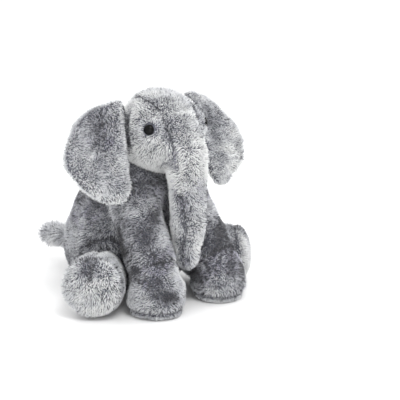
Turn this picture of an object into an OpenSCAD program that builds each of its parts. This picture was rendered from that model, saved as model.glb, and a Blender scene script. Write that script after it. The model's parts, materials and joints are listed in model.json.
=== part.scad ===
// A sitting stuffed elephant: sewn plush covers over fibre stuffing, with a pellet bag in the seat.
// It faces -Y with +Z up. The origin is on the floor, at the middle of its footprint.
// Every sewn joint is a round root that turns in a hollow of the piece it is sewn to.

/* [Torso] */
// Radius at the widest part of the torso
torso_r = 92; // [86:1:94]
// Height of the widest part above the floor
torso_belly_z = 62; // [58:1:66]
// Length of the torso above its widest part, along its own axis
torso_rise = 158; // [150:1:162]
// Forward lean of the torso in degrees
torso_lean = 11; // [8:1:14]

/* [Head] */
// Radius of the head
head_r = 63; // [60:1:65]
// Height of the middle of the head above the floor
head_z = 234; // [230:1:238]
// Half of the width of the strip that runs over the crown and down the forehead
gusset_half_w = 22; // [16:1:26]
// Diameter of the dome of an eye
eye_d = 14; // [10:0.5:16]

/* [Trunk] */
// Radius of the trunk where it leaves the head
trunk_r = 27; // [24:1:28]
// Radius of the trunk at its tip
trunk_tip_r = 17; // [14:1:19]
// Height of the underside of the trunk's tip above the floor
trunk_tip_z = 51; // [48:1:60]

/* [Ears] */
// Thickness of an ear at its middle
ear_t = 14; // [10:0.5:15]
// How far an ear points back from straight out sideways, in degrees
ear_back = 10; // [5:1:14]

/* [Legs and tail] */
// Radius of a front leg
front_leg_r = 34; // [30:1:35]
// Radius of a front foot
front_foot_r = 40; // [37:1:40]
// Radius of a hind leg at the hip
hip_r = 38; // [34:1:39]
// Radius of a hind foot
hind_foot_r = 44; // [41:1:44]
// Radius of the tail
tail_r = 15; // [12:1:16]

/* [Cloth] */
// Thickness of the plush cloth with its flattened pile
cloth_t = 4; // [3:0.5:5]
// Gap between a round root and the hollow it turns in
joint_gap = 1; // [0.8:0.1:1.5]

/* [Hidden] */

$fn = 64;
LEFT = 1;
RIGHT = -1;
// Larger than the whole toy, for the blocks that cut it
big = 500;
// Straight bands in each rounded end of an outline
steps = 8;

plush_grey = [0.62, 0.64, 0.70];
plush_light = [0.76, 0.78, 0.81];
plush_dark = [0.45, 0.47, 0.53];
fibre_white = [0.93, 0.93, 0.91];
bag_cream = [0.85, 0.81, 0.72];
eye_black = [0.04, 0.04, 0.05];

// Middle of the torso at its widest part. Places are for the left side (+X) where a piece is paired
belly = [0, -10, torso_belly_z];
// Below its widest part the torso is half of an egg this deep, cut flat by the floor
torso_drop = torso_belly_z + 16;
head = [0, -86, head_z];
// The forehead swells out from here and narrows down to the trunk
brow = head + [0, -22, -12];
brow_r = 42;
trunk_top = [0, -144, 174];
trunk_knee = [0, -146, 116];
trunk_knee_r = trunk_r - 1;
trunk_end = [0, -143, trunk_tip_z + trunk_tip_r];
// The two ends of an ear's seam
ear_low = [60, -92, 202];
ear_high = [50, -76, 277];
// An ear is a little thinner at its seam than at its middle
ear_root_r = ear_t / 2 - 1;
ear_wadding_t = 4;
// An eye's direction from the middle of the head: out to the side from straight ahead, and up
eye_turn = 53;
eye_lift = 12;
shoulder = [44, -88, 132];
ankle = [54, -133, 64];
front_foot = [56, -144, 0];
hip = [93, -68, hip_r + 3];
hind_foot = [130, -102, hind_foot_r];
// How far the stuffed sole swells past the seam round a hind foot
sole_bulge = 24;
tail_root = [0, belly[1] + torso_r + 8, 44];
// The tail reaches as far back as the front feet reach forward
tail_len = front_foot_r - front_foot[1] - tail_root[1] - tail_r;
seat_bag = [0, 14, cloth_t];
seat_bag_r = 36;
seat_bag_h = 44;
seat_bag_wall = 1.5;

// How far the trunk and the ears swing, in degrees, with a little to spare
trunk_swing = 26;
ear_forward = 41;
ear_backward = 21;

// ---- Shared shapes ----

// Places a shape on its own side of the toy: it is drawn for the left
module on_side(side) {
    mirror([side == RIGHT ? 1 : 0, 0, 0]) children();
}

// Stands a shape on point a, with its own Z axis towards point b
module aim(a, b) {
    way = b - a;
    translate(a) rotate([0, acos(way[2] / norm(way)), atan2(way[1], way[0])]) children();
}

// A quarter of a round end, from angle a0 to a1, r wide and h high, about height z
function round_end(r, h, z, a0, a1) = [
    for (i = [0:steps]) let (a = a0 + (a1 - a0) * i / steps) [r * cos(a), z + h * sin(a)]
];

// Solid of a limb: a ball of radius r1 at the bottom, a round end r2 wide and cap high at height len
module limb(r1, r2, len, cap, inset) {
    slope = asin((r1 - r2) / len);
    rotate_extrude() polygon(concat(
        round_end(r1 - inset, r1 - inset, 0, -90, slope),
        round_end(r2 - inset, cap - inset, len, slope, 90)
    ));
}

// A ball with its poles at the sides, where the pieces round it cut them off
module ball(r) {
    rotate([0, 90, 0]) sphere(r);
}

// The cup that a ball of radius r turns in, at point a, on a limb that goes on towards point b.
// It opens at the height where the limb clears its rim at full swing.
module cup(a, b, r, swing) {
    rim = r * tan(swing);
    translate(a) ball(r + joint_gap);
    aim(a, b) translate([0, 0, -rim]) cylinder(r = 2 * r, h = 4 * r);
}

// Keeps what lies between x0 and x1
module slab(x0, x1) {
    intersection() {
        children();
        translate([x0, -big / 2, -big / 2]) cube([x1 - x0, big, 2 * big]);
    }
}

// Keeps what lies above height z
module above(z) {
    intersection() {
        children();
        translate([-big / 2, -big / 2, z]) cube(big);
    }
}

// Keeps what lies below height z
module below(z) {
    intersection() {
        children();
        translate([-big / 2, -big / 2, z - big]) cube(big);
    }
}

// ---- Torso ----

// Pear outline about the torso's own axis, from its underside to its top
function torso_outline(inset) = concat(
    round_end(torso_r - inset, torso_drop - inset, 0, -90, 0),
    [
        for (i = [1:2 * steps]) let (s = sin(90 * i / (2 * steps)))
        [(torso_r - inset) * pow(1 - pow(s, 1.8), 0.75), (torso_rise - inset) * s]
    ]
);

module torso_form(inset) {
    above(inset) translate(belly) rotate([torso_lean, 0, 0])
        rotate_extrude() polygon(torso_outline(inset));
}

// The round seats for the head, the legs and the tail. A front leg leans on a wider groove below its seat
module torso_seats() {
    groove_r = front_leg_r + 3 * joint_gap;
    translate(head) sphere(head_r + joint_gap);
    translate(tail_root) sphere(tail_r + joint_gap);
    for (side = [LEFT, RIGHT]) on_side(side) {
        translate(shoulder) sphere(front_leg_r + joint_gap);
        aim(shoulder, ankle) cylinder(r = groove_r, h = norm(ankle - shoulder));
        translate(hip) sphere(hip_r + joint_gap);
    }
}

module torso_skin() {
    difference() {
        torso_form(0);
        torso_form(cloth_t);
        torso_seats();
    }
}

// A wedge about the torso's upright middle line, between two angles seen from above
module wedge(a0, a1) {
    mid = (a0 + a1) / 2;
    translate([belly[0], belly[1], 0])
        linear_extrude(big) polygon([[0, 0], for (a = [a0, mid, a1]) big * [cos(a), sin(a)]]);
}

// Half of the angle that the belly panel takes up round the torso
belly_half_angle = 42;

module torso_side_panel(side) {
    color(plush_grey) intersection() {
        torso_skin();
        on_side(side) wedge(belly_half_angle - 90, 90);
    }
}

module belly_panel() {
    color(plush_dark) intersection() {
        torso_skin();
        wedge(-90 - belly_half_angle, -90 + belly_half_angle);
    }
}

module seat_bag_form(inset) {
    translate(seat_bag + [0, 0, seat_bag_h / 2])
        rotate_extrude() polygon(round_end(seat_bag_r - inset, seat_bag_h / 2 - inset, 0, -90, 90));
}

module torso_stuffing() {
    color(fibre_white) difference() {
        torso_form(cloth_t);
        torso_seats();
        seat_bag_form(0);
    }
}

module pellet_bag() {
    color(bag_cream) difference() {
        seat_bag_form(0);
        seat_bag_form(seat_bag_wall);
    }
}

module pellets() {
    color(fibre_white) seat_bag_form(seat_bag_wall);
}

// ---- Head ----

module head_form(inset) {
    translate(head) ball(head_r - inset);
    aim(brow, trunk_top) cylinder(r1 = brow_r - inset, r2 = trunk_r - inset, h = norm(trunk_top - brow));
}

// Stands a shape in the middle of the head, with its own Z axis out through an eye
module at_eye(side) {
    on_side(side) translate(head) rotate([0, 90 - eye_lift, eye_turn - 90]) children();
}

// The hollow that an eye and its washer fill, with the cloth pressed flat under the dome
module eye_room() {
    hole_r = eye_shank_r + eye_play;
    shank_end = eye_seat - eye_shank_len;
    washer_back = washer_seat - washer_t;
    rotate_extrude() polygon([
        [0, shank_end], [hole_r, shank_end], [hole_r, washer_back], [washer_r, washer_back],
        [washer_r, washer_seat], [hole_r, washer_seat], [hole_r, eye_seat], [eye_d / 2, eye_seat],
        [eye_d / 2, eye_seat + eye_dome_h], [0, eye_seat + eye_dome_h]
    ]);
}

module head_rooms() {
    cup(trunk_top, trunk_knee, trunk_r, trunk_swing);
    for (side = [LEFT, RIGHT]) {
        on_side(side) at_ear() ear_room();
        at_eye(side) eye_room();
    }
}

module head_skin() {
    difference() {
        head_form(0);
        head_form(cloth_t);
        head_rooms();
    }
}

// The chin lies under the head, behind the trunk
module chin_block() {
    chin_front = 18;
    chin_depth = 36;
    translate([-big / 2, head[1] - chin_front, head_z - chin_depth - big]) cube(big);
}

module head_side_panel(side) {
    color(plush_grey) on_side(side) slab(gusset_half_w, big / 2) head_skin();
}

module head_gusset() {
    color(plush_light) difference() {
        slab(-gusset_half_w, gusset_half_w) head_skin();
        chin_block();
    }
}

module chin_panel() {
    color(plush_dark) intersection() {
        slab(-gusset_half_w, gusset_half_w) head_skin();
        chin_block();
    }
}

module head_stuffing() {
    color(fibre_white) difference() {
        head_form(cloth_t);
        head_rooms();
    }
}

// ---- Eyes ----

eye_rim_t = 1.2;
eye_dome_h = 4.2;
eye_shank_r = 2.2;
eye_shank_len = 14;
eye_ridge = 0.4;
// Clearance round a shank and round a washer
eye_play = 0.1;
washer_r = 8;
washer_t = 1.5;
// How far the flat underside of a dome is pressed into the round cloth
eye_sink = 0.8;
eye_seat = head_r - eye_sink;
// The outer face of a washer lies just under the cloth
washer_seat = eye_seat - cloth_t - 2 * eye_play;

// A glossy dome on a ridged shank that goes in through the cloth
module eye(side) {
    ridges = 5;
    ridge_step = 1.6;
    ridge_lip = 0.1;
    rim_chamfer = 0.3;
    color(eye_black) at_eye(side) translate([0, 0, eye_seat]) rotate_extrude() polygon(concat(
        [[0, -eye_shank_len], [eye_shank_r - eye_ridge, -eye_shank_len]],
        [
            for (i = [1:ridges]) let (z = ridge_step * i - eye_shank_len)
            each [[eye_shank_r, z], [eye_shank_r - eye_ridge, z + ridge_lip]]
        ],
        [[eye_shank_r - eye_ridge, 0], [eye_d / 2 - rim_chamfer, 0]],
        round_end(eye_d / 2, eye_dome_h, eye_rim_t, 0, 90)
    ));
}

// The disc that locks on the shank inside the head
module eye_washer(side) {
    color(fibre_white) at_eye(side) translate([0, 0, washer_seat - washer_t]) difference() {
        cylinder(r = washer_r - eye_play, h = washer_t);
        translate([0, 0, -1]) cylinder(r = eye_shank_r, h = washer_t + 2);
    }
}

// ---- Trunk ----

module trunk_upper_form(inset) {
    aim(trunk_top, trunk_knee)
        limb(trunk_r, trunk_knee_r, norm(trunk_knee - trunk_top), trunk_knee_r, inset);
}

module trunk_lower_form(inset) {
    aim(trunk_knee, trunk_end)
        limb(trunk_knee_r, trunk_tip_r, norm(trunk_end - trunk_knee), trunk_tip_r, inset);
}

module trunk_upper_cover() {
    color(plush_grey) difference() {
        trunk_upper_form(0);
        trunk_upper_form(cloth_t);
        cup(trunk_knee, trunk_end, trunk_knee_r, trunk_swing);
    }
}

module trunk_upper_stuffing() {
    color(fibre_white) difference() {
        trunk_upper_form(cloth_t);
        cup(trunk_knee, trunk_end, trunk_knee_r, trunk_swing);
    }
}

module trunk_lower_cover() {
    color(plush_grey) difference() {
        trunk_lower_form(0);
        trunk_lower_form(cloth_t);
    }
}

module trunk_lower_stuffing() {
    color(fibre_white) trunk_lower_form(cloth_t);
}

// ---- Ears ----

ear_len = norm(ear_high - ear_low);
// Where an ear is thickest: distance out from the seam, and height along it
ear_middle = [46, 14];
// Radius of a circle about that place that takes in the whole ear, and the ear's thickness there
ear_reach = 80;
ear_rim_t = 6;
// Corners of the fan: distance out from the seam, and height along it
ear_corners = [
    [0, ear_len - 1], [24, ear_len + 3], [54, 66], [80, 36], [94, 0],
    [88, -32], [62, -54], [34, -60], [19, -44], [12, -16], [0, 3]
];

// A smooth closed curve through the given corners
function smooth_curve(corners, n) =
    let (count = len(corners))
    [
        for (i = [0:count - 1], k = [0:n - 1])
        let (
            a = corners[(i + count - 1) % count],
            b = corners[i],
            c = corners[(i + 1) % count],
            d = corners[(i + 2) % count],
            t = k / n
        )
        0.5 * (2 * b + (c - a) * t + (2 * a - 5 * b + 4 * c - d) * pow(t, 2) + (3 * (b - c) - a + d) * pow(t, 3))
    ];

// Stands a shape on the seam of the left ear: X runs out along the ear and Z up the seam
module at_ear() {
    way = ear_high - ear_low;
    aim(ear_low, ear_high) rotate([0, 0, ear_back - atan2(way[1], way[0])]) children();
}

// A flat fan, with its outline drawn in by inset all round
module ear_plate(inset, half_t) {
    shrink = 1 - inset / ear_middle[0];
    outline = [for (p = smooth_curve(ear_corners, 4)) ear_middle + shrink * (p - ear_middle)];
    rotate([90, 0, 0]) translate([0, 0, -half_t]) linear_extrude(2 * half_t) polygon(outline);
}

// Half of an ear's thickness at distance x from where it is thickest
function ear_half_t(x) = ear_t / 2 - (ear_t - ear_rim_t) / 2 * pow(x / ear_reach, 2);

// A padded fan: the flat fan cut from a lens
module ear_form() {
    radii = [for (i = [0:steps]) ear_reach * i / steps];
    front_face = [for (x = radii) [x, ear_half_t(x)]];
    back_face = [for (x = radii) [ear_reach - x, -ear_half_t(ear_reach - x)]];
    intersection() {
        ear_plate(0, ear_t);
        translate([ear_middle[0], 0, ear_middle[1]]) rotate([90, 0, 0])
            rotate_extrude() polygon(concat(front_face, back_face));
    }
}

// The slot that the root of an ear turns in: a round bore along the seam that opens outwards
module ear_room() {
    room_r = ear_root_r + joint_gap;
    wall = ear_root_r + 0.2;
    over = 8;
    taper = 4;
    reach = 40;
    ahead = -ear_forward - taper;
    behind = ear_backward + taper;
    translate([0, 0, -over]) linear_extrude(ear_len + 2 * over) union() {
        circle(room_r);
        polygon([
            wall * [cos(ahead - 90), sin(ahead - 90)],
            wall * [cos(ahead - 90), sin(ahead - 90)] + reach * [cos(ahead), sin(ahead)],
            wall * [cos(behind + 90), sin(behind + 90)] + reach * [cos(behind), sin(behind)],
            wall * [cos(behind + 90), sin(behind + 90)]
        ]);
    }
}

// One face of an ear's cover, from the seam round its rim: front faces -Y, back faces +Y
module ear_panel(side, front) {
    color(front ? plush_light : plush_grey) on_side(side) at_ear() difference() {
        ear_form();
        ear_plate(cloth_t, ear_wadding_t / 2);
        translate([-big / 2, front ? 0 : -big, -big / 2]) cube(big);
    }
}

module ear_wadding(side) {
    color(fibre_white) on_side(side) at_ear() ear_plate(cloth_t, ear_wadding_t / 2);
}

// ---- Front legs ----

// A round club foot, flat below, with its widest part at the toes and a high instep
module front_foot_form(inset) {
    toe_z = 22;
    instep = 56;
    // The rolled edge of the sole: how far in it starts, how far in it ends and how high it comes
    edge_start = 7;
    edge_end = 2;
    edge_h = 6;
    translate(front_foot) rotate_extrude() polygon(concat(
        [[0, inset], [front_foot_r - edge_start - inset, inset]],
        [[front_foot_r - edge_end - inset, inset + edge_h]],
        round_end(front_foot_r - inset, instep - inset, toe_z, 0, 90)
    ));
}

module front_leg_form(inset) {
    aim(shoulder, ankle) limb(front_leg_r, front_leg_r + 1, norm(ankle - shoulder), front_leg_r, inset);
    front_foot_form(inset);
}

module front_leg_cover(side) {
    color(plush_grey) on_side(side) above(cloth_t) difference() {
        front_leg_form(0);
        front_leg_form(cloth_t);
    }
}

module front_leg_sole(side) {
    color(plush_light) on_side(side) below(cloth_t) front_foot_form(0);
}

module front_leg_stuffing(side) {
    color(fibre_white) on_side(side) front_leg_form(cloth_t);
}

// ---- Hind legs ----

module hind_leg_form(inset) {
    aim(hip, hind_foot) limb(hip_r, hind_foot_r, norm(hind_foot - hip), sole_bulge, inset);
}

// What lies past the seam round the foot
module past_foot_seam() {
    aim(hip, hind_foot) translate([-big / 2, -big / 2, norm(hind_foot - hip)]) cube(big);
}

module hind_leg_cover(side) {
    color(plush_grey) on_side(side) difference() {
        hind_leg_form(0);
        hind_leg_form(cloth_t);
        past_foot_seam();
    }
}

module hind_leg_sole(side) {
    color(plush_light) on_side(side) intersection() {
        difference() {
            hind_leg_form(0);
            hind_leg_form(cloth_t);
        }
        past_foot_seam();
    }
}

module hind_leg_stuffing(side) {
    color(fibre_white) on_side(side) hind_leg_form(cloth_t);
}

// ---- Tail ----

module tail_form(inset) {
    aim(tail_root, tail_root + [0, 1, 0]) limb(tail_r, tail_r - 1, tail_len, tail_r, inset);
}

module tail_cover() {
    color(plush_dark) difference() {
        tail_form(0);
        tail_form(cloth_t);
    }
}

module tail_stuffing() {
    color(fibre_white) tail_form(cloth_t);
}

// ---- Nodes ----

torso_side_panel(LEFT);  // torso_left_panel
torso_side_panel(RIGHT);  // torso_right_panel
belly_panel();
torso_stuffing();
pellet_bag();
pellets();
head_side_panel(LEFT);  // head_left_panel
head_side_panel(RIGHT);  // head_right_panel
head_gusset();
chin_panel();
head_stuffing();
eye(LEFT);  // eye_left
eye(RIGHT);  // eye_right
eye_washer(LEFT);  // eye_washer_left
eye_washer(RIGHT);  // eye_washer_right
trunk_upper_cover();
trunk_upper_stuffing();
trunk_lower_cover();
trunk_lower_stuffing();
ear_panel(LEFT, true);  // ear_left_front_panel
ear_panel(LEFT, false);  // ear_left_back_panel
ear_wadding(LEFT);  // ear_left_wadding
ear_panel(RIGHT, true);  // ear_right_front_panel
ear_panel(RIGHT, false);  // ear_right_back_panel
ear_wadding(RIGHT);  // ear_right_wadding
front_leg_cover(LEFT);  // front_leg_left_cover
front_leg_sole(LEFT);  // front_leg_left_sole
front_leg_stuffing(LEFT);  // front_leg_left_stuffing
front_leg_cover(RIGHT);  // front_leg_right_cover
front_leg_sole(RIGHT);  // front_leg_right_sole
front_leg_stuffing(RIGHT);  // front_leg_right_stuffing
hind_leg_cover(LEFT);  // hind_leg_left_cover
hind_leg_sole(LEFT);  // hind_leg_left_sole
hind_leg_stuffing(LEFT);  // hind_leg_left_stuffing
hind_leg_cover(RIGHT);  // hind_leg_right_cover
hind_leg_sole(RIGHT);  // hind_leg_right_sole
hind_leg_stuffing(RIGHT);  // hind_leg_right_stuffing
tail_cover();
tail_stuffing();
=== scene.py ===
"""A sitting stuffed elephant in mottled grey plush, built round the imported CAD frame.

Every stuffed piece is a cloth skin, inflated by a cloth simulation and held in along its seams, with a
pile of short bent tufts standing on it. The tufts are spun from a few dyed yarns, dark at the root.
Everything is in metres, the elephant faces -Y and its own left side is +X.
"""

import json
import math

import bmesh
import bpy
import numpy as np
from mathutils import Matrix, Vector


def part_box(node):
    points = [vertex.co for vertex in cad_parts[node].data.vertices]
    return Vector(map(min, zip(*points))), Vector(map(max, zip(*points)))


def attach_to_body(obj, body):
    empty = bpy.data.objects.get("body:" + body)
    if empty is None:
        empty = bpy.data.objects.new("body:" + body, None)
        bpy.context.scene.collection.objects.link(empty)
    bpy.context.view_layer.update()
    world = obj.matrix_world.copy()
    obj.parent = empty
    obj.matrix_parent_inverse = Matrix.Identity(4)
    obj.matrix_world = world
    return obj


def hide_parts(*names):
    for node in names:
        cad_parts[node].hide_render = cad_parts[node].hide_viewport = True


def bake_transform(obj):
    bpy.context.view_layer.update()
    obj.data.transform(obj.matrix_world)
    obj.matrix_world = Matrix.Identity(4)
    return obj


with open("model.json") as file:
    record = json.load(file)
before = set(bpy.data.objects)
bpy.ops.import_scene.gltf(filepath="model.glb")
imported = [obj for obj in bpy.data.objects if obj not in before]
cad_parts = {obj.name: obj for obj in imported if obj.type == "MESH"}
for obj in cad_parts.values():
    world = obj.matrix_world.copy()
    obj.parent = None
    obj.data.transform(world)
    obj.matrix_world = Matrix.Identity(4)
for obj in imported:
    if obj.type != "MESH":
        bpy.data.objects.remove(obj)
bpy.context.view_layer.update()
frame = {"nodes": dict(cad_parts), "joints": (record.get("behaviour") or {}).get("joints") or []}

LEFT, RIGHT = 1, -1
SIDES = {"left": LEFT, "right": RIGHT}
UP = Vector((0, 0, 1))
FORWARD = Vector((0, -1, 0))

# How deep the cloth lies under the CAD surface, which is where the tips of the pile come to
PILE_DEPTH = 0.0045
VOXEL = 0.004
TUFTS_PER_M2 = 460_000
TUFT_RADIUS = 0.00040
TUFTS_PER_OBJECT = 18_000
FLOOR_CLEARANCE = 0.0004


# ---- Places, from the frame ----

PIVOT = {joint["name"]: Vector(joint["pos_m"]) for joint in frame["joints"]}
HEAD = PIVOT["neck_nod"]
TRUNK_TOP = PIVOT["trunk_upper_bend"]
TRUNK_KNEE = PIVOT["trunk_lower_bend"]
TAIL_ROOT = PIVOT["tail_wag"]


def middle(node):
    """The middle of a CAD node's box."""
    low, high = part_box(node)
    return (low + high) / 2


def extent(node):
    """The size of a CAD node's box along each axis."""
    low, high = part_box(node)
    return high - low


def mirrored(point, side):
    """A point of the left side, on the given side."""
    return Vector((side * point[0], point[1], point[2]))


# The torso's middle is where it is widest, and the hind foot's is on the seam round its sole
TORSO_LEVEL = 0.062
TORSO = Vector((0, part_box("torso_left_panel")[1].y - extent("torso_left_panel").x, TORSO_LEVEL))
TORSO_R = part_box("torso_left_panel")[1].x
HEAD_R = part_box("head_left_panel")[1].x
TRUNK_R = extent("trunk_upper_cover").x / 2
FRONT_FOOT = middle("front_leg_left_sole")
HIND_HIP = PIVOT["hind_leg_left_splay"]
HIND_FOOT = Vector((0.130, -0.102, extent("hind_leg_left_sole").z / 2))
EYE = middle("eye_left")
EAR_ROOT = PIVOT["ear_flap_left"]
EAR_SEAM_TOP = Vector((0.050, -0.076, 0.277))
# How far back an ear is turned from straight out sideways
EAR_TURN = math.radians(10)


# ---- Meshes ----

def points_of(mesh):
    """A mesh's vertices as an array of points."""
    flat = np.empty(len(mesh.vertices) * 3)
    mesh.vertices.foreach_get("co", flat)
    return flat.reshape(-1, 3)


def normals_of(mesh):
    """The smooth normal at each vertex of a mesh."""
    flat = np.empty(len(mesh.vertices) * 3, np.float32)
    mesh.vertex_normals.foreach_get("vector", flat)
    return flat.reshape(-1, 3).astype(float)


def move_points(mesh, points):
    """Puts a mesh's vertices at those points."""
    mesh.vertices.foreach_set("co", np.asarray(points, np.float32).ravel())
    mesh.update()


def unit(vectors):
    """Each row of an array of vectors, made one long."""
    return vectors / np.maximum(np.linalg.norm(vectors, axis=-1, keepdims=True), 1e-9)


def new_piece(name, bm):
    """A new object with that name, made from a bmesh."""
    mesh = bpy.data.meshes.new(name)
    bm.to_mesh(mesh)
    bm.free()
    piece = bpy.data.objects.new(name, mesh)
    bpy.context.scene.collection.objects.link(piece)
    return piece


def add_ball(bm, centre, radius):
    """Adds a ball."""
    place = Matrix.Translation(centre)
    bmesh.ops.create_icosphere(bm, subdivisions=4, radius=radius, matrix=place)


def add_cone(bm, start, start_r, end, end_r):
    """Adds a slice of a cone between two points, with a radius at each."""
    way = end - start
    place = Matrix.Translation((start + end) / 2) @ way.to_track_quat("Z", "Y").to_matrix().to_4x4()
    bmesh.ops.create_cone(
        bm, cap_ends=True, segments=48, radius1=start_r, radius2=end_r, depth=way.length, matrix=place
    )


def add_lathe(bm, outline, place, turns=64):
    """Adds a closed solid of revolution: outline lists (radius, height) from its lowest point up."""
    rings = []
    for radius, height in outline:
        angles = [math.tau * i / turns for i in range(turns)]
        ring = [(radius * math.cos(a), radius * math.sin(a), height) for a in angles]
        rings.append([bm.verts.new(place @ Vector(point)) for point in ring])
    for lower, upper in zip(rings, rings[1:]):
        for i in range(turns):
            j = (i + 1) % turns
            bm.faces.new((lower[i], lower[j], upper[j], upper[i]))
    bm.faces.new(list(reversed(rings[0])))
    bm.faces.new(rings[-1])


def settle(piece):
    """Bakes a piece's modifiers into its mesh."""
    graph = bpy.context.evaluated_depsgraph_get()
    mesh = bpy.data.meshes.new_from_object(piece.evaluated_get(graph))
    piece.modifiers.clear()
    piece.data = mesh


def fuse(piece, depth, voxel=VOXEL, rounds=4):
    """Merges a piece's solids into one even skin, that deep below their surface, with its edges rounded."""
    remesh = piece.modifiers.new("one skin", "REMESH")
    remesh.mode = "VOXEL"
    remesh.voxel_size = voxel
    round_off = piece.modifiers.new("rounded", "SMOOTH")
    round_off.factor = 0.5
    round_off.iterations = rounds
    inward = piece.modifiers.new("under the pile", "DISPLACE")
    inward.mid_level = 0
    inward.strength = -depth
    settle(piece)


# ---- Smooth variation over the toy ----

def drift(points, size, seed, waves=14):
    """Smooth random values at points, mostly within -1 to 1, that vary over about that distance."""
    rng = np.random.default_rng(seed)
    total = np.zeros(len(points))
    for _ in range(waves):
        way = unit(rng.normal(size=3))
        pitch = math.tau / (size * rng.uniform(1.2, 2.6))
        total += np.sin(points @ way * pitch + rng.uniform(0, math.tau))
    return total / math.sqrt(waves)


def ramp(values, start, end):
    """0 where values are at start, 1 at end, smooth between."""
    t = np.clip((values - start) / (end - start), 0, 1)
    return t * t * (3 - 2 * t)


def smooth_step(value, start, end):
    """The same ramp, for one number."""
    return float(ramp(np.array(value), start, end))


def near(points, centre, radius):
    """1 at centre, falling to 0 at that radius."""
    return 1 - ramp(np.linalg.norm(points - np.array(centre), axis=1), 0, radius)


def on_left(points):
    """The points, with those of the right side mirrored to the left."""
    return points * np.where(points[:, :1] < 0, (-1, 1, 1), (1, 1, 1))


# ---- Seams ----

def flat_seam(point, normal, side_point=None, side=None):
    """A seam where the cloth crosses a plane, only on one side of a second plane if that is given."""
    point, normal = np.array(point), unit(np.array(normal, float))

    def distance(points):
        gap = np.abs((points - point) @ normal)
        if side is None:
            return gap
        beyond = (points - np.array(side_point)) @ unit(np.array(side, float))
        return np.where(beyond > 0, gap, gap + np.abs(beyond))

    return distance


def line_seam(start, end, radius):
    """A seam where another piece of that radius is sewn in along a line."""
    start, way = np.array(start), np.array(end) - np.array(start)

    def distance(points):
        share = np.clip((points - start) @ way / (way @ way), 0, 1)
        return np.maximum(np.linalg.norm(points - start - np.outer(share, way), axis=1) - radius, 0)

    return distance


def round_seam(centre, radius):
    """A seam round a limb's root, where its ball is sewn in."""
    return lambda points: np.abs(np.linalg.norm(points - np.array(centre), axis=1) - radius)


def to_seams(points, seams):
    """Each point's distance from the nearest seam."""
    if not seams:
        return np.full(len(points), 1.0)
    return np.min([seam(points) for seam in seams], axis=0)


def on_seam(gap, width):
    """1 where the distance from a seam is 0, fading out over about twice that width."""
    return np.exp(-((gap / width) ** 2))


def gusset_seams(side_point, side):
    """The two seams that run from the crown down the forehead and the trunk, drawing together."""
    half_w, narrowing = 0.0205, 0.075
    return [
        flat_seam((s * half_w, 0, TRUNK_TOP.z), (1, 0, -s * narrowing), side_point, side)
        for s in (LEFT, RIGHT)
    ]


def ear_seam(side, radius):
    """The seam between an ear and the head."""
    return line_seam(mirrored(EAR_ROOT, side), mirrored(EAR_SEAM_TOP, side), radius)


# ---- Forms of the stuffed pieces ----

def torso_form():
    """A pear, leaning forward, that sits flat on the floor and fills out to the neck and the shoulders."""
    drop, rise, lean, steps = 0.078, 0.158, math.radians(11), 24
    shoulder_curve, taper = 1.8, 0.75
    neck_at = Vector((0.020, HEAD.y + 0.024, HEAD.z - 0.066))
    neck_r, shoulder_r, sole_level = 0.040, 0.036, 0.003
    outline = []
    for i in range(1, steps + 1):
        angle = math.pi / 2 * i / steps
        outline.append((TORSO_R * math.sin(angle), -drop * math.cos(angle)))
    for i in range(1, 2 * steps):
        height = math.sin(math.pi / 2 * i / (2 * steps))
        outline.append((TORSO_R * (1 - height**shoulder_curve) ** taper, rise * height))
    bm = bmesh.new()
    add_lathe(bm, outline, Matrix.Translation(TORSO) @ Matrix.Rotation(lean, 4, "X"))
    for side in (LEFT, RIGHT):
        shoulder = mirrored(PIVOT["front_leg_left_swing"], side)
        neck = mirrored(neck_at, side)
        add_cone(bm, neck, neck_r, shoulder, shoulder_r)
        add_ball(bm, shoulder, shoulder_r)
        add_ball(bm, neck, neck_r)
    piece = new_piece("torso_skin", bm)
    fuse(piece, PILE_DEPTH, rounds=16)
    points = points_of(piece.data)
    points[:, 2] = np.maximum(points[:, 2], sole_level)
    move_points(piece.data, points)
    return piece


def head_form():
    """A ball, flattened below, whose forehead narrows down to the trunk."""
    brow, brow_r = HEAD + Vector((0, -0.027, -0.008)), 0.045
    snout, snout_r = HEAD + Vector((0, -0.055, -0.026)), 0.031
    root_r = TRUNK_R + 0.001
    flattening, chin_lift, chin_back, chin_front = 0.07, 0.16, 0.095, 0.130
    bm = bmesh.new()
    add_ball(bm, HEAD, HEAD_R)
    add_ball(bm, brow, brow_r)
    add_cone(bm, brow, brow_r, snout, snout_r)
    add_ball(bm, snout, snout_r)
    for vert in bm.verts:
        below = max(HEAD.z - vert.co.z, 0)
        vert.co.z += below * (flattening + chin_lift * smooth_step(-vert.co.y, chin_back, chin_front))
    add_cone(bm, snout, snout_r, TRUNK_TOP, root_r)
    add_ball(bm, TRUNK_TOP, root_r)
    piece = new_piece("head_skin", bm)
    fuse(piece, PILE_DEPTH, rounds=14)
    return piece


def limb_form(name, layers, balls=(), depth=PILE_DEPTH, voxel=VOXEL, rounds=5):
    """The CAD solids of a limb fused into one skin, with balls that fill the hollows between them."""
    bm = bmesh.new()
    for layer in layers:
        bm.from_mesh(frame["nodes"][f"{name}_{layer}"].data)
    for centre, radius in balls:
        add_ball(bm, centre, radius)
    piece = new_piece(f"{name}_skin", bm)
    fuse(piece, depth, voxel, rounds)
    return piece


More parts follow.
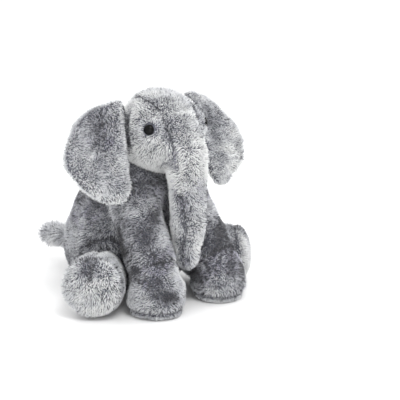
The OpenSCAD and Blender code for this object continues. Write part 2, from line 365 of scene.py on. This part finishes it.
def cup_ear(piece, side):
    """Curls an ear's rim and its lower lobe forwards, as its weight and its seam pull them."""
    rim_curl, lobe_curl, hollow_depth = 0.007, 0.012, 0.012
    hollow_at, hollow_r = (0.042, 0.040, 0), 0.045
    rim_spread, lobe_gather, lobe_lift = 0.007, 0.012, 0.004
    out = np.array((math.cos(EAR_TURN), math.sin(EAR_TURN), 0))
    ahead = np.array((math.sin(EAR_TURN), -math.cos(EAR_TURN), 0))
    local = points_of(piece.data) * (side, 1, 1) - np.array(EAR_ROOT)
    across, height = local @ out, local[:, 2]
    curl = rim_curl * ramp(across, 0.050, 0.095) + lobe_curl * ramp(-height, -0.020, 0.045)
    hollow = hollow_depth * near(np.stack([across, height, 0 * height], 1), hollow_at, hollow_r)
    lobe = ramp(-height, -0.030, 0.040) * ramp(across, 0.0, 0.02)
    widening = rim_spread * ramp(across, 0.020, 0.090) - lobe_gather * lobe
    moved = local + np.outer(curl - hollow, ahead) + np.outer(widening, out) + np.array(EAR_ROOT)
    moved[:, 2] += lobe_lift * lobe
    move_points(piece.data, moved * (side, 1, 1))


def curl_tail(piece):
    """Bends the end of the tail a little to one side."""
    sideways, start, end = 0.010, TAIL_ROOT.y + 0.02, TAIL_ROOT.y + 0.09
    points = points_of(piece.data)
    points[:, 0] -= sideways * ramp(points[:, 1], start, end)
    move_points(piece.data, points)


# ---- Stuffing: cloth under pressure, held in along its seams ----

def start_stuffing(piece, seams):
    """Gives a skin a Cloth that swells between its seams, and is held there and at the floor."""
    held_at_all = 0.02
    points = points_of(piece.data)
    held = piece.vertex_groups.new(name="sewn")
    weights = 1 - ramp(to_seams(points, seams), 0.001, 0.006)
    weights = np.maximum(weights, 1 - ramp(points[:, 2], 0.004, 0.010))
    for index in np.flatnonzero(weights > held_at_all):
        held.add([int(index)], float(weights[index]), "REPLACE")
    cloth = piece.modifiers.new("stuffed", "CLOTH")
    cloth.settings.vertex_group_mass = "sewn"
    cloth.settings.use_pressure = True
    cloth.settings.uniform_pressure_force = 4
    cloth.settings.effector_weights.gravity = 0
    cloth.settings.quality = 4
    cloth.settings.tension_stiffness = 20
    cloth.settings.bending_stiffness = 0.3
    cloth.collision_settings.use_collision = False


def stuff(skins):
    """Runs every skin's Cloth together, and keeps each point within reach of where it was."""
    frames, reach = 20, 0.006
    before = {name: points_of(piece.data) for name, (piece, _) in skins.items()}
    for piece, seams in skins.values():
        start_stuffing(piece, seams)
    for number in range(1, frames + 1):
        bpy.context.scene.frame_set(number)
    for name, (piece, _) in skins.items():
        settle(piece)
        moved = points_of(piece.data) - before[name]
        far = np.linalg.norm(moved, axis=1, keepdims=True)
        limit = reach * np.tanh(far / reach) / np.maximum(far, 1e-9)
        move_points(piece.data, before[name] + moved * limit)
    bpy.context.scene.frame_set(1)


def sew(piece, seams):
    """Rounds a skin once more, dents it a little and draws it in along its seams."""
    groove_depth, groove_width = 0.0030, 0.0035
    dent_depth, dent_size, dent_seed = 0.0009, 0.022, 5
    finer = piece.modifiers.new("finer", "SUBSURF")
    finer.levels = 1
    finer.render_levels = 1
    settle(piece)
    points = points_of(piece.data)
    groove = groove_depth * on_seam(to_seams(points, seams), groove_width)
    dents = dent_depth * drift(points, dent_size, dent_seed)
    move_points(piece.data, points - normals_of(piece.data) * (groove - dents)[:, None])
    piece.data.shade_smooth()


def seat_eyes(piece):
    """Presses the head's skin flat against the underside of each eye, and leaves it alone further in."""
    under_dome, full, blend_to, inside = 0.0047, 0.0085, 0.018, -0.02
    points = points_of(piece.data)
    for side in (LEFT, RIGHT):
        washer = np.array(mirrored(middle("eye_washer_left"), side))
        axis = unit(washer - np.array(HEAD))
        local = points - washer
        height = local @ axis
        from_axis = np.linalg.norm(local - np.outer(height, axis), axis=1)
        share = (1 - ramp(from_axis, full, blend_to)) * (height > inside)
        points += np.outer((under_dome - height) * share, axis)
    move_points(piece.data, points)


# ---- Materials ----

def shader(name, colour, roughness, **constants):
    """A new node material, with its shader's own sockets set."""
    material = bpy.data.materials.new(name)
    material.use_nodes = True
    nodes, links = material.node_tree.nodes, material.node_tree.links
    body = nodes["Principled BSDF"]
    body.inputs["Base Color"].default_value = (*colour, 1)
    body.inputs["Roughness"].default_value = roughness
    for socket, value in constants.items():
        body.inputs[socket.replace("_", " ")].default_value = value
    return material, nodes, links, body


def add_mottle(nodes, links, body, scale, dark, light, bump):
    """Colours a shader with noise between two colours, and bumps it with the same noise."""
    noise = nodes.new("ShaderNodeTexNoise")
    noise.inputs["Scale"].default_value = scale
    noise.inputs["Detail"].default_value = 6
    place = nodes.new("ShaderNodeTexCoord")
    links.new(place.outputs["Object"], noise.inputs["Vector"])
    colours = nodes.new("ShaderNodeValToRGB")
    colours.color_ramp.elements[0].position = 0.35
    colours.color_ramp.elements[0].color = (*dark, 1)
    colours.color_ramp.elements[1].position = 0.65
    colours.color_ramp.elements[1].color = (*light, 1)
    links.new(noise.outputs["Fac"], colours.inputs["Fac"])
    links.new(colours.outputs["Color"], body.inputs["Base Color"])
    relief = nodes.new("ShaderNodeBump")
    relief.inputs["Strength"].default_value = bump
    relief.inputs["Distance"].default_value = 0.001
    links.new(noise.outputs["Fac"], relief.inputs["Height"])
    links.new(relief.outputs["Normal"], body.inputs["Normal"])


# The dyed yarns of the pile, from the darkest to the palest
YARNS = [
    ("yarn_charcoal", (0.036, 0.036, 0.041)),
    ("yarn_slate", (0.150, 0.152, 0.168)),
    ("yarn_grey", (0.375, 0.381, 0.412)),
    ("yarn_blue_grey", (0.568, 0.578, 0.608)),
    ("yarn_silver", (0.730, 0.739, 0.754)),
    ("yarn_frost", (0.865, 0.871, 0.868)),
]
LILAC_YARN = ("yarn_lilac", (0.480, 0.468, 0.562))
# The shade of plain pile, counted along the list of yarns from 0 for the darkest
BASE_SHADE = 4.1


def yarn_materials():
    """One fibre material for each yarn."""
    made = []
    for name, colour in [*YARNS, LILAC_YARN]:
        material, *_ = shader(name, colour, 0.75, Sheen_Weight=0.25, Sheen_Roughness=0.5)
        made.append(material)
    return made


def speckled_material(name, dark, light, scale, roughness, bump, **constants):
    """A material speckled between two colours, with noise of that scale."""
    material, nodes, links, body = shader(name, light, roughness, **constants)
    add_mottle(nodes, links, body, scale, dark, light, bump)
    return material


# ---- Pile ----

def roots_on(mesh, rng, share):
    """Evenly scattered points on a mesh, with their normals."""
    mesh.calc_loop_triangles()
    corners = np.empty(len(mesh.loop_triangles) * 3, np.int32)
    mesh.loop_triangles.foreach_get("vertices", corners)
    corners = corners.reshape(-1, 3)
    points, normals = points_of(mesh), normals_of(mesh)
    a, b, c = (points[corners[:, k]] for k in range(3))
    area = np.linalg.norm(np.cross(b - a, c - a), axis=1) / 2
    count = int(area.sum() * TUFTS_PER_M2 * share)
    where = np.searchsorted(np.cumsum(area), (np.arange(count) + rng.random(count)) / count * area.sum())
    where = np.minimum(where, len(area) - 1)
    u, v = np.sqrt(rng.random(count)), rng.random(count)
    weights = np.stack([1 - u, u * (1 - v), u * v], 1)
    place = np.einsum("nk,nkd->nd", weights, points[corners[where]])
    normal = unit(np.einsum("nk,nkd->nd", weights, normals[corners[where]]))
    return place, normal


def along_skin(vectors, normals):
    """The part of each vector that lies in the skin."""
    return vectors - np.sum(vectors * normals, axis=1, keepdims=True) * normals


def tuft_ways(place, normal, nap, seed, rng):
    """Which way each tuft leaves the skin and which way its tip points."""
    lock_size, wave_size = 0.009, 0.030
    combing, locking, waving, straying = 0.45, 0.40, 0.30, 0.22
    root_lean, tip_rise = 0.35, 0.55
    combed = along_skin(np.tile(np.array(nap, float), (len(place), 1)), normal)
    locks = np.stack([drift(place, lock_size, seed + k) for k in range(3)], 1)
    waves = np.stack([drift(place, wave_size, seed + 10 + k) for k in range(3)], 1)
    lean = combing * combed + along_skin(locking * locks + waving * waves, normal)
    lean += straying * along_skin(rng.normal(size=place.shape), normal)
    return unit(normal + root_lean * lean), unit(tip_rise * normal + lean)


def speckles(place, shade, gap, seed, rng):
    """Which tufts are speckles: most of them in patches, in dark places and along the seams."""
    patch_size, lock_size, seam_w, seam_core = 0.032, 0.0035, 0.0050, 0.002
    at_seam, by_darkness, fewer, fewest, most = 1.6, 0.35, 0.10, 0.04, 0.85
    patch = ramp(drift(place, patch_size, seed + 23), 0, 1.3) + at_seam * on_seam(gap, seam_w)
    patch = np.maximum(patch + by_darkness * (BASE_SHADE - shade) - fewer, fewest)
    lock = np.maximum(ramp(drift(place, lock_size, seed + 24), -0.4, 0.9), on_seam(gap, seam_core))
    return rng.random(len(place)) < most * np.clip(patch, 0, 1) * lock


def pick_yarns(place, tone, gap, seed, rng):
    """The yarn at each tuft's root and at its tip, as indexes into the yarns."""
    coarse, medium, fine, scatter = 0.60, 0.50, 0.30, 0.25
    seam_darker, seam_w, speckle_darker, root_darker = 1.6, 0.0035, (1.8, 3.6), 0.8
    lilac_from, lilac_share = 0.85, 0.6
    shade = BASE_SHADE + tone(place)
    # Mottling in patches of 50, 16 and 5 mm, and a scatter from tuft to tuft
    shade += coarse * drift(place, 0.050, seed + 20) + medium * drift(place, 0.016, seed + 21)
    shade += fine * drift(place, 0.005, seed + 22) + scatter * rng.normal(size=len(place))
    shade -= seam_darker * on_seam(gap, seam_w)
    speckled = speckles(place, shade, gap, seed, rng)
    shade -= np.where(speckled, rng.uniform(*speckle_darker, len(place)), 0)
    tip = np.clip(np.round(shade), 0, len(YARNS) - 1).astype(int)
    root = np.clip(np.round(shade - root_darker), 0, len(YARNS) - 1).astype(int)
    # Lilac patches run on from piece to piece, so their seeds are the same everywhere
    lilac = drift(place, 0.060, 77) + 0.5 * drift(place, 0.010, 78) > lilac_from
    middling = (tip > 1) & (tip < 4)
    tip[lilac & middling & (rng.random(len(place)) < lilac_share)] = len(YARNS)
    return root, tip


def tuft_corners(place, ways, length):
    """Each tuft's seven corners: three round its root, three round its bend and its tip."""
    root_depth, root_width, bend_at = 0.0012, 0.9, 0.5
    root_way, tip_way = ways
    rng = np.random.default_rng(len(place))
    across = unit(np.cross(root_way, rng.normal(size=place.shape)))
    other = np.cross(root_way, across)
    angles = np.arange(3) * math.tau / 3
    ring = np.cos(angles)[None, :, None] * across[:, None] + np.sin(angles)[None, :, None] * other[:, None]
    width = TUFT_RADIUS * rng.uniform(0.75, 1.35, len(place))[:, None, None]
    bend = place + root_way * (bend_at * length)[:, None]
    low = (place - root_way * root_depth)[:, None] + root_width * width * ring
    high = bend[:, None] + width * ring
    tip = (bend + tip_way * ((1 - bend_at) * length)[:, None])[:, None]
    corners = np.concatenate([low, high, tip], axis=1)
    corners[:, :, 2] = np.maximum(corners[:, :, 2], FLOOR_CLEARANCE)
    return corners


def tuft_faces():
    """A tuft's faces, as corners: those below its bend, and then those of its point."""
    pairs = [(k, (k + 1) % 3) for k in range(3)]
    below = [(0, 2, 1)]
    below += [(k, j, 3 + j) for k, j in pairs]
    below += [(k, 3 + j, 3 + k) for k, j in pairs]
    point = [(3 + k, 3 + j, 6) for k, j in pairs]
    return below, point


def tuft_meshes(name, corners, yarns, materials):
    """Closed three-sided tufts, bent once and pointed, in as many objects as their number asks for."""
    root_yarn, tip_yarn = yarns
    below, point = tuft_faces()
    pattern = np.array([*below, *point])
    made = []
    parts = max(1, math.ceil(len(corners) / TUFTS_PER_OBJECT))
    for number, group in enumerate(np.array_split(np.arange(len(corners)), parts), 1):
        first = corners.shape[1] * np.arange(len(group))
        faces = (pattern[None] + first[:, None, None]).reshape(-1, 3)
        mesh = bpy.data.meshes.new(f"{name}_{number}")
        mesh.from_pydata(corners[group].reshape(-1, 3), [], faces)
        root_slots = np.repeat(root_yarn[group, None], len(below), 1)
        tip_slots = np.repeat(tip_yarn[group, None], len(point), 1)
        slots = np.concatenate([root_slots, tip_slots], 1)
        for material in materials:
            mesh.materials.append(material)
        mesh.polygons.foreach_set("material_index", slots.ravel().astype(np.int32))
        mesh.shade_smooth()
        piece = bpy.data.objects.new(mesh.name, mesh)
        bpy.context.scene.collection.objects.link(piece)
        made.append(piece)
    return made


def grow_pile(name, skin, look, seams, seed, materials):
    """Covers a skin with tufts, shorter along its seams and round the places that stay bare."""
    seam_shorter, seam_w, bare_shorter, bare_reach = 0.35, 0.004, 0.55, 2.4
    rng = np.random.default_rng(seed)
    place, normal = roots_on(skin.data, rng, 1)
    bare = np.zeros(len(place), bool)
    for centre, radius in look["bare"]:
        bare |= np.linalg.norm(place - np.array(centre), axis=1) < radius
    place, normal = place[~bare], normal[~bare]
    gap = to_seams(place, seams)
    length = look["length"] * rng.uniform(0.75, 1.2, len(place))
    length *= 1 - seam_shorter * on_seam(gap, seam_w)
    length *= 1 + look["tassel"](place)
    for centre, radius in look["bare"]:
        length *= 1 - bare_shorter * near(place, centre, bare_reach * radius)
    ways = tuft_ways(place, normal, look["nap"], seed, rng)
    yarns = pick_yarns(place, look["tone"], gap, seed, rng)
    return tuft_meshes(name, tuft_corners(place, ways, length), yarns, materials)


# ---- Tones: how many yarns paler or darker than plain pile it is at each point ----

def none(points):
    """No change anywhere."""
    return np.zeros(len(points))


def torso_tone(points):
    """Dark, with painted shade on the chest under the head, deepest in the fold between the chest and the
    chin.
    """
    # Painted shade: a little on the chest under the head, most in the fold under the chin
    chest = ramp(-points[:, 1], 0.05, 0.10) * ramp(points[:, 2], 0.09, 0.13)
    fold_shade = ramp(points[:, 2], 0.150, 0.172) * chest
    return -1.5 - 0.15 * chest - 0.9 * fold_shade


def head_tone(points):
    """Pale on the cheeks and the forehead, with painted shadow round the eyes."""
    cheek = ramp(-points[:, 2], -0.232, -0.208)
    forehead = ramp(-points[:, 1], 0.118, 0.145)
    beside_eye = EYE + Vector((-0.014, -0.014, 0.004))
    # Painted shadow round each eye
    brow_shadow = sum(near(points, mirrored(beside_eye, side), 0.034) for side in (LEFT, RIGHT))
    return 2.8 * cheek + 0.7 * forehead - 0.9 * brow_shadow + 0.25


def trunk_tone(points):
    """A little darker towards the tip of the trunk."""
    return 0.1 - 0.5 * ramp(-points[:, 2], -0.09, -0.06)


def ear_tone(points):
    """Painted shade in the ear's hollow, painted light on its lobe where it bends forward, and paler along
    its rim.
    """
    here = on_left(points)
    # Painted light on the lobe, which bends forward
    lobe = ramp(-points[:, 2], -0.205, -0.165)
    # Painted shade in the hollow
    hollow = near(here, (0.100, -0.085, 0.243), 0.042)
    rim = ramp(here[:, 0], 0.115, 0.140)
    return 1.3 * lobe - 2.2 * hollow + 0.5 * rim - 0.25


def front_leg_tone(points):
    """Dark blotches down the leg, and a paler edge round the sole."""
    toes = 1 - ramp(points[:, 2], 0.012, 0.035)
    blotches = ramp(drift(points, 0.024, 9), -0.5, 0.9) * (1 - toes)
    return -1.0 + 0.9 * toes - 1.8 * blotches


def hind_leg_tone(points):
    """Pale on the sole, with a dark streak where its top is gathered."""
    axis = unit(np.array(HIND_FOOT - HIND_HIP))
    local = on_left(points) - np.array(HIND_FOOT)
    sole = ramp(local @ axis, -0.004, 0.008)
    across = local @ unit(np.cross(axis, UP))
    gather = ramp(local[:, 2], 0.006, 0.024) * (1 - ramp(np.abs(across), 0.008, 0.022))
    return -0.3 + sole * (1.2 - 2.3 * gather)


def tail_tone(points):
    """Evenly darker."""
    return np.full(len(points), -0.9)


def tail_tassel(points):
    """How much longer the pile grows along the tail."""
    return 0.35 + 0.45 * ramp(points[:, 1], TAIL_ROOT.y + 0.02, TAIL_ROOT.y + 0.08)


def pile_look(length=0.0056, nap=(0, 0.25, -1), tone=none, tassel=none, bare=()):
    """How a piece's pile looks: nap is the way it is combed, bare lists balls that stay free of it."""
    return {"length": length, "nap": nap, "tone": tone, "tassel": tassel, "bare": bare}


def pile_looks():
    """How the pile looks on each body."""
    eye_r = 0.0089
    eyes = [(mirrored(EYE, side), eye_r) for side in (LEFT, RIGHT)]
    looks = {
        "torso": pile_look(tone=torso_tone),
        "head": pile_look(tone=head_tone, length=0.0050, nap=(0, 0.5, -0.7), bare=eyes),
        "trunk": pile_look(tone=trunk_tone, length=0.0050),
        "tail": pile_look(tone=tail_tone, nap=(-0.2, 1, -0.2), tassel=tail_tassel, length=0.0085),
    }
    for word in SIDES:
        looks[f"ear_{word}"] = pile_look(tone=ear_tone, length=0.0046)
        looks[f"front_leg_{word}"] = pile_look(tone=front_leg_tone)
        looks[f"hind_leg_{word}"] = pile_look(tone=hind_leg_tone)
    return looks


# ---- The stuffed pieces: each skin with its seams ----

def torso_skin():
    """The torso, with the belly panel's two seams, the one down the back and those round the hips."""
    belly_half, hip_r = math.radians(42), 0.055
    seams = [flat_seam(TORSO, (1, 0, 0), TORSO, (0, 1, 0))]
    for side in (LEFT, RIGHT):
        way = (side * math.sin(belly_half), -math.cos(belly_half), 0)
        seams.append(flat_seam(TORSO, (-way[1], way[0], 0), TORSO, way))
        seams.append(round_seam(mirrored(HIND_HIP, side), hip_r))
    return torso_form(), seams


def head_skin():
    """The head, with the two seams over it and those that hold the ears."""
    chin, ear_r = HEAD - Vector((0, 0, 0.040)), 0.006
    return head_form(), gusset_seams(chin, UP) + [ear_seam(side, ear_r) for side in (LEFT, RIGHT)]


def trunk_skin():
    """Both parts of the trunk, with a ball in its knee and the two seams down its front."""
    layers = [f"{part}_{layer}" for part in ("upper", "lower") for layer in ("cover", "stuffing")]
    form = limb_form("trunk", layers, [(TRUNK_KNEE, TRUNK_R)], depth=0.0035)
    return form, gusset_seams(TRUNK_KNEE, FORWARD)


def tail_skin():
    """The tail, which shows no seam."""
    form = limb_form("tail", ("cover", "stuffing"), rounds=3)
    curl_tail(form)
    return form, []


def ear_skin(name, side):
    """An ear, with the seam that holds it."""
    root_r = 0.004
    form = limb_form(name, ("front_panel", "back_panel", "wadding"), depth=0.0015, voxel=0.003, rounds=3)
    cup_ear(form, side)
    return form, [ear_seam(side, root_r)]


def front_leg_skin(name, side):
    """A front leg, with the seam round its sole and the crease across its ankle."""
    sole_top = 0.011
    form = limb_form(name, ("cover", "sole", "stuffing"), rounds=8)
    shoulder, foot = mirrored(PIVOT["front_leg_left_swing"], side), mirrored(FRONT_FOOT, side)
    ankle = foot + Vector((0, 0.008, 0.058))
    leg_way = foot + Vector((0, 0.011, 0.064)) - shoulder
    sole_seam = flat_seam((0, 0, sole_top), UP)
    return form, [sole_seam, flat_seam(ankle, leg_way, ankle, (0, -1, -0.4))]


def hind_leg_skin(name, side):
    """A hind leg, with the seam round its sole and the one that gathers the sole's top."""
    form = limb_form(name, ("cover", "sole", "stuffing"))
    hip, foot = mirrored(HIND_HIP, side), mirrored(HIND_FOOT, side)
    axis = (foot - hip).normalized()
    gather_end = foot + axis * 0.004 + UP * 0.014
    return form, [flat_seam(foot, axis), flat_seam(foot, axis.cross(UP), gather_end, UP + axis * 0.2)]


def build_skins():
    """Every stuffed piece's skin and its seams, under the name of its body."""
    skins = {"torso": torso_skin(), "head": head_skin(), "trunk": trunk_skin(), "tail": tail_skin()}
    for word, side in SIDES.items():
        for limb, build in (("ear", ear_skin), ("front_leg", front_leg_skin), ("hind_leg", hind_leg_skin)):
            name = f"{limb}_{word}"
            skins[name] = build(name, side)
    return skins


def attach(piece, name):
    """Puts a piece on its body; the trunk's pieces, which span its two bodies, stay on neither."""
    if name == "trunk":
        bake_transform(piece)
    else:
        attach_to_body(piece, name)


def dress(skins):
    """Gives each skin its cloth and its pile, and puts them on its body."""
    yarns = yarn_materials()
    dark, light = (0.035, 0.036, 0.045), (0.115, 0.118, 0.145)
    cloth = speckled_material("plush_backing", dark, light, 260, 0.9, 0.6, Sheen_Weight=0.3)
    looks = pile_looks()
    named_apart = {"torso": ["belly_panel"], "head": ["chin_panel"]}
    for seed, (name, (skin, seams)) in enumerate(skins.items(), 100):
        skin.data.materials.clear()
        skin.data.materials.append(cloth)
        pile = grow_pile(f"{name}_pile", skin, looks[name], seams, 100 * seed, yarns)
        for piece in [skin, *pile]:
            attach(piece, name)
        own = [node for node in frame["nodes"] if node.startswith(name + "_")]
        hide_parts(*sorted([*own, *named_apart.get(name, [])]))


def finish_cad_nodes():
    """Materials for the hard pieces that stay as the CAD made them."""
    black = speckled_material(
        "eye_black", (0.001, 0.001, 0.001), (0.002, 0.002, 0.002), 90, 0.03, 0.005, Specular_IOR_Level=0.14
    )
    white = speckled_material("washer_white", (0.70, 0.70, 0.67), (0.80, 0.80, 0.78), 140, 0.5, 0.1)
    cotton = speckled_material("bag_cotton", (0.62, 0.55, 0.43), (0.74, 0.68, 0.56), 420, 0.9, 0.5)
    beads = speckled_material("pellet_plastic", (0.72, 0.72, 0.70), (0.88, 0.88, 0.86), 300, 0.35, 0.8)
    finishes = {"eye_washer": white, "eye": black, "pellet_bag": cotton, "pellets": beads}
    for node, piece in frame["nodes"].items():
        for start, material in finishes.items():
            if node.startswith(start):
                piece.data.materials.clear()
                piece.data.materials.append(material)
                break


# ---- Studio ----

def floor():
    """A plain pale floor."""
    material = speckled_material("floor_white", (0.88, 0.88, 0.88), (0.91, 0.91, 0.91), 3, 0.6, 0)
    bm = bmesh.new()
    bmesh.ops.create_circle(bm, cap_ends=True, segments=96, radius=20)
    piece = new_piece("floor", bm)
    piece.data.materials.append(material)


def area_light(name, place, target, size, power):
    """A round soft light, pointed at the target."""
    light = bpy.data.lights.new(name, "AREA")
    light.shape = "DISK"
    light.size = size
    light.energy = power
    lamp = bpy.data.objects.new(name, light)
    lamp.location = place
    lamp.rotation_euler = (target - place).to_track_quat("-Z", "Y").to_euler()
    bpy.context.scene.collection.objects.link(lamp)


def studio():
    """The floor, a white surrounding and four soft lights."""
    floor()
    world = bpy.data.worlds.new("studio")
    world.use_nodes = True
    world.node_tree.nodes["Background"].inputs["Color"].default_value = (1, 1, 1, 1)
    world.node_tree.nodes["Background"].inputs["Strength"].default_value = 1.15
    bpy.context.scene.world = world
    bpy.context.scene.view_settings.view_transform = "Standard"
    target = Vector((0, -0.05, 0.15))
    area_light("key", Vector((-0.6, -1.5, 2.2)), target, 1.0, 28)
    area_light("front", Vector((-1.1, -1.5, 0.35)), target, 1.4, 9)
    area_light("fill", Vector((1.8, -0.8, 1.2)), target, 1.5, 8)
    area_light("back", Vector((0.2, 1.8, 1.8)), target, 1.2, 8)


def camera():
    """Looks from the front right of the toy, a little from above, with a long lens."""
    azimuth, elevation = math.radians(-42), math.radians(13)
    distance, lens, aim_level, to_right, down = 1.6, 104.3, 0.150, 0.0552, 0.011
    across = Vector((math.cos(azimuth), math.sin(azimuth), 0))
    level = math.cos(elevation)
    towards = Vector((math.sin(azimuth) * level, -math.cos(azimuth) * level, math.sin(elevation)))
    above = towards.cross(across)
    aim = Vector((0, HEAD.y, aim_level)) + across * to_right - above * down
    data = bpy.data.cameras.new("camera")
    data.lens = lens
    data.sensor_width = 36
    data.clip_start = 0.05
    seen_from = bpy.data.objects.new("camera", data)
    seen_from.location = aim + towards * distance
    seen_from.rotation_euler = (-towards).to_track_quat("-Z", "Y").to_euler()
    bpy.context.scene.collection.objects.link(seen_from)
    bpy.context.scene.camera = seen_from


skins = build_skins()
stuff(skins)
for skin, seams in skins.values():
    sew(skin, seams)
seat_eyes(skins["head"][0])
dress(skins)
finish_cad_nodes()
studio()
camera()
